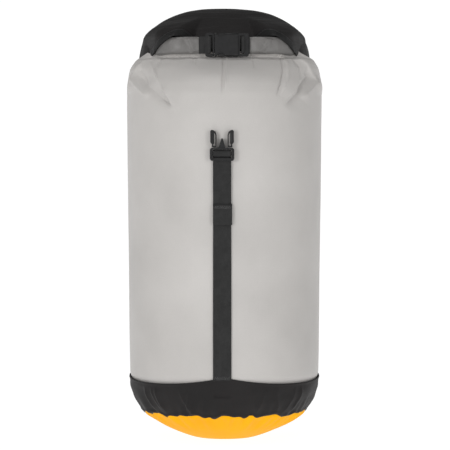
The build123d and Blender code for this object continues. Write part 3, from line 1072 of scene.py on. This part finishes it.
def loop_strip(name, frame_axes, v_in, v_out, pinch, tongue):
    """Webbing loop round a buckle bar; its layers meet at height pinch and end in a tongue."""
    base, across, v_axis, w_axis = frame_axes
    sign = 1 if v_out > v_in else -1
    span = abs(v_out - v_in)
    end = span + tongue
    line = [
        (end, pinch - 0.68), (span, pinch - 0.7), (span * 0.7, pinch * 0.7 - 0.85),
        (2.6, -1.0), (0.75, -0.4), (0.7, 2.5), (0.75, 5.3), (2.6, 5.9),
        (span * 0.7, pinch + 2.0), (span, pinch + 0.75), (end, pinch + 0.68),
    ]
    path = [base + v_axis * (v_in + sign * v) + w_axis * w for v, w in through(line, 100)]
    loop = strip(name, path, across, LOOP_HALF_W, 1.25, 0, 71)
    paint(loop, WEBBING)
    return loop


SOCKET_LOOP = 30.1  # from a socket's mouth to the inner end of its loop
SIDE_LOOP_END = 42.5  # and to the outer end of a side socket's loop


def side_clip_axes(sign):
    """Place of a free socket turned up against the lid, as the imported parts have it."""
    t = math.radians(125.0)
    rx, ry, span = 99.0, RIM_HALF_D, SIDE_LOOP_END
    x, y = rx * math.sin(t), LID_Y - ry * math.cos(t)
    nx, ny = math.sin(t) / rx, -math.cos(t) / ry
    norm = math.hypot(nx, ny)
    nx, ny = nx / norm, ny / norm
    lean = math.radians(3.0)
    out = np.array([sign * nx * math.cos(lean), ny * math.cos(lean), math.sin(lean)])
    across = np.array([ny, -sign * nx, 0.0])
    lift = 3.0 - span * math.sin(lean)
    height = rim_plane(y) + 4.0 + span * math.cos(lean)
    base = np.array([sign * (x + lift * nx), y + lift * ny, height])
    return base, across, np.cross(out, across), out


def make_loops():
    """Sewn loops: two on the roll buckle, one behind, three on the lid's free sockets."""
    x_axis, y_axis, z_axis = np.eye(3)
    roll = (np.array([-21.3, -62.5, 445.2]), -z_axis, x_axis, -y_axis)
    for tag, v_in, v_out in (("left", 6.6, -6.0), ("right", 10.2 + SOCKET_LOOP, 49.1)):
        loop = loop_strip(f"roll_webbing_{tag}", roll, v_in, v_out, 0.4, 0.6)
        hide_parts(f"roll_loop_{tag}")
        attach(loop, "sack")
    across, up, out = strap_axes(REAR_ANGLE)
    rear = (strap_point(REAR_ANGLE, 338.0, 2.0), across, up, out)
    rear_lift = 4.6
    tab = loop_strip("lid_webbing_rear", rear, 14.4 + SOCKET_LOOP, 63.8, rear_lift, 9.0)
    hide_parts("lid_tab_rear")
    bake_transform(tab)
    centre = strap_point(REAR_ANGLE, 407.5, 0) * [1, 0, 1] + [0, rear[0][1] + rear_lift + 1.45, 0]
    box_stitch("lid_webbing_rear_bartack", centre, across, z_axis, y_axis, 8.6, 1.6, "lid")
    for tag, sign in (("left", -1), ("right", 1)):
        axes = side_clip_axes(sign)
        tab = loop_strip(f"lid_webbing_{tag}", axes, SOCKET_LOOP, SIDE_LOOP_END, -0.3, 4.0)
        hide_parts(f"lid_tab_{tag}")
        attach(tab, f"lid_clip_{tag}")
    front = (np.array([0, -1.7, 437.4]), -x_axis, -y_axis, z_axis)
    tab = loop_strip("lid_webbing_front", front, SOCKET_LOOP, 41.8, 2.5, 2.0)
    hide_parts("lid_tab_front")
    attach(tab, "lid_clip_front")


# ================= buckles: CAD parts with moulded edges =================


EDGE_MM = 0.7
ARM_EDGE_MM = 0.35


def mould_edges(obj, width_mm):
    """Round a moulded part's edges; the CAD mesh itself stays as it is."""
    weld = obj.modifiers.new("weld", "WELD")
    weld.merge_threshold = 0.01 * MM
    bevel = obj.modifiers.new("edge", "BEVEL")
    bevel.width = width_mm * MM
    bevel.segments = 2
    bevel.limit_method = "ANGLE"
    bevel.angle_limit = math.radians(40)
    bevel.harden_normals = True


def finish_buckles():
    """Plastic and rounded edges for every moulded part."""
    for node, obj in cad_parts.items():
        if "buckle" in node:
            mould_edges(obj, ARM_EDGE_MM if "arm" in node else EDGE_MM)
            paint(obj, PLASTIC)
    paint(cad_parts["collar_stiffener"], STRIP)


# ================= studio =================


def make_stage():
    """White floor under the sack that curves up to a low rim far away."""
    flat, rim, rim_height_mm = 9000, 12000, 2800
    bend = np.linspace(0, math.pi / 2, 30)
    radius = np.concatenate([[200, 1500, 5000], flat + (rim - flat) * np.sin(bend)])
    height = np.concatenate([[0, 0, 0], rim_height_mm * (1 - np.cos(bend))])
    turn = np.linspace(0, TAU, 96, endpoint=False)
    rings = [
        np.stack([r * np.sin(turn), r * np.cos(turn), np.full(turn.shape, h - 0.3)], -1)
        for r, h in zip(radius, height)
    ]
    floor = grid_object("studio_floor", np.array(rings), cap_start=True)
    m = Nodes("studio_white", 0.9)
    m.colour(srgb(118, 118, 118), srgb(124, 124, 124), m.noise(2.0, 2.0))
    m.bsdf.inputs["Emission Color"].default_value = (1, 1, 1, 1)
    m.bsdf.inputs["Emission Strength"].default_value = 0.94
    paint(floor, m.mat)


def area_light(name, location, target, power):
    """Square lamp half a metre wide that faces a target."""
    light = bpy.data.lights.new(name, "AREA")
    light.size = 0.5
    light.energy = power
    obj = bpy.data.objects.new(name, light)
    bpy.context.scene.collection.objects.link(obj)
    obj.location = location
    obj.rotation_mode = "QUATERNION"
    obj.rotation_quaternion = (Vector(target) - Vector(location)).to_track_quat("-Z", "Y")


def make_lights():
    """Soft white surroundings, two low lamps in front and one above."""
    world = bpy.data.worlds.new("studio")
    bpy.context.scene.world = world
    world.use_nodes = True
    world.node_tree.nodes["Background"].inputs["Color"].default_value = (1, 1, 1, 1)
    world.node_tree.nodes["Background"].inputs["Strength"].default_value = 0.22
    area_light("key", (-1.15, -2.0, 0.5), (0, 0, 0.22), 13.8)
    area_light("fill", (1.15, -2.0, 0.45), (0, 0, 0.22), 9)
    area_light("top", (-0.3, -0.7, 2.2), (0, 0, 0.4), 8)


def make_camera():
    """Level view of the front, far enough away to look nearly flat."""
    cam = bpy.data.cameras.new("camera")
    distance = 2.3
    width = 0.5175  # width of the view at the sack's axis
    cam.sensor_width = 36.0
    cam.lens = cam.sensor_width * distance / width
    cam.clip_end = 50
    obj = bpy.data.objects.new("camera", cam)
    bpy.context.scene.collection.objects.link(obj)
    obj.location = (0.0008, -distance, 0.244)
    obj.rotation_euler = (math.pi / 2, 0, 0)
    bpy.context.scene.camera = obj
    bpy.context.scene.view_settings.view_transform = "Standard"


def main():
    """Camera first, then the studio and the sack from the bottom up."""
    make_camera()
    make_lights()
    make_stage()
    make_body()
    make_band()
    make_base()
    make_roll()
    make_mouth()
    make_lid()
    make_binding()
    make_strap("front", FRONT_ANGLE, 0.0)
    make_strap("left", -SIDE_ANGLE, 0.0)
    make_strap("right", SIDE_ANGLE, 0.0)
    make_strap("rear", REAR_ANGLE, REAR_DROP)
    make_loops()
    finish_buckles()


main()
bpy.context.view_layer.update()
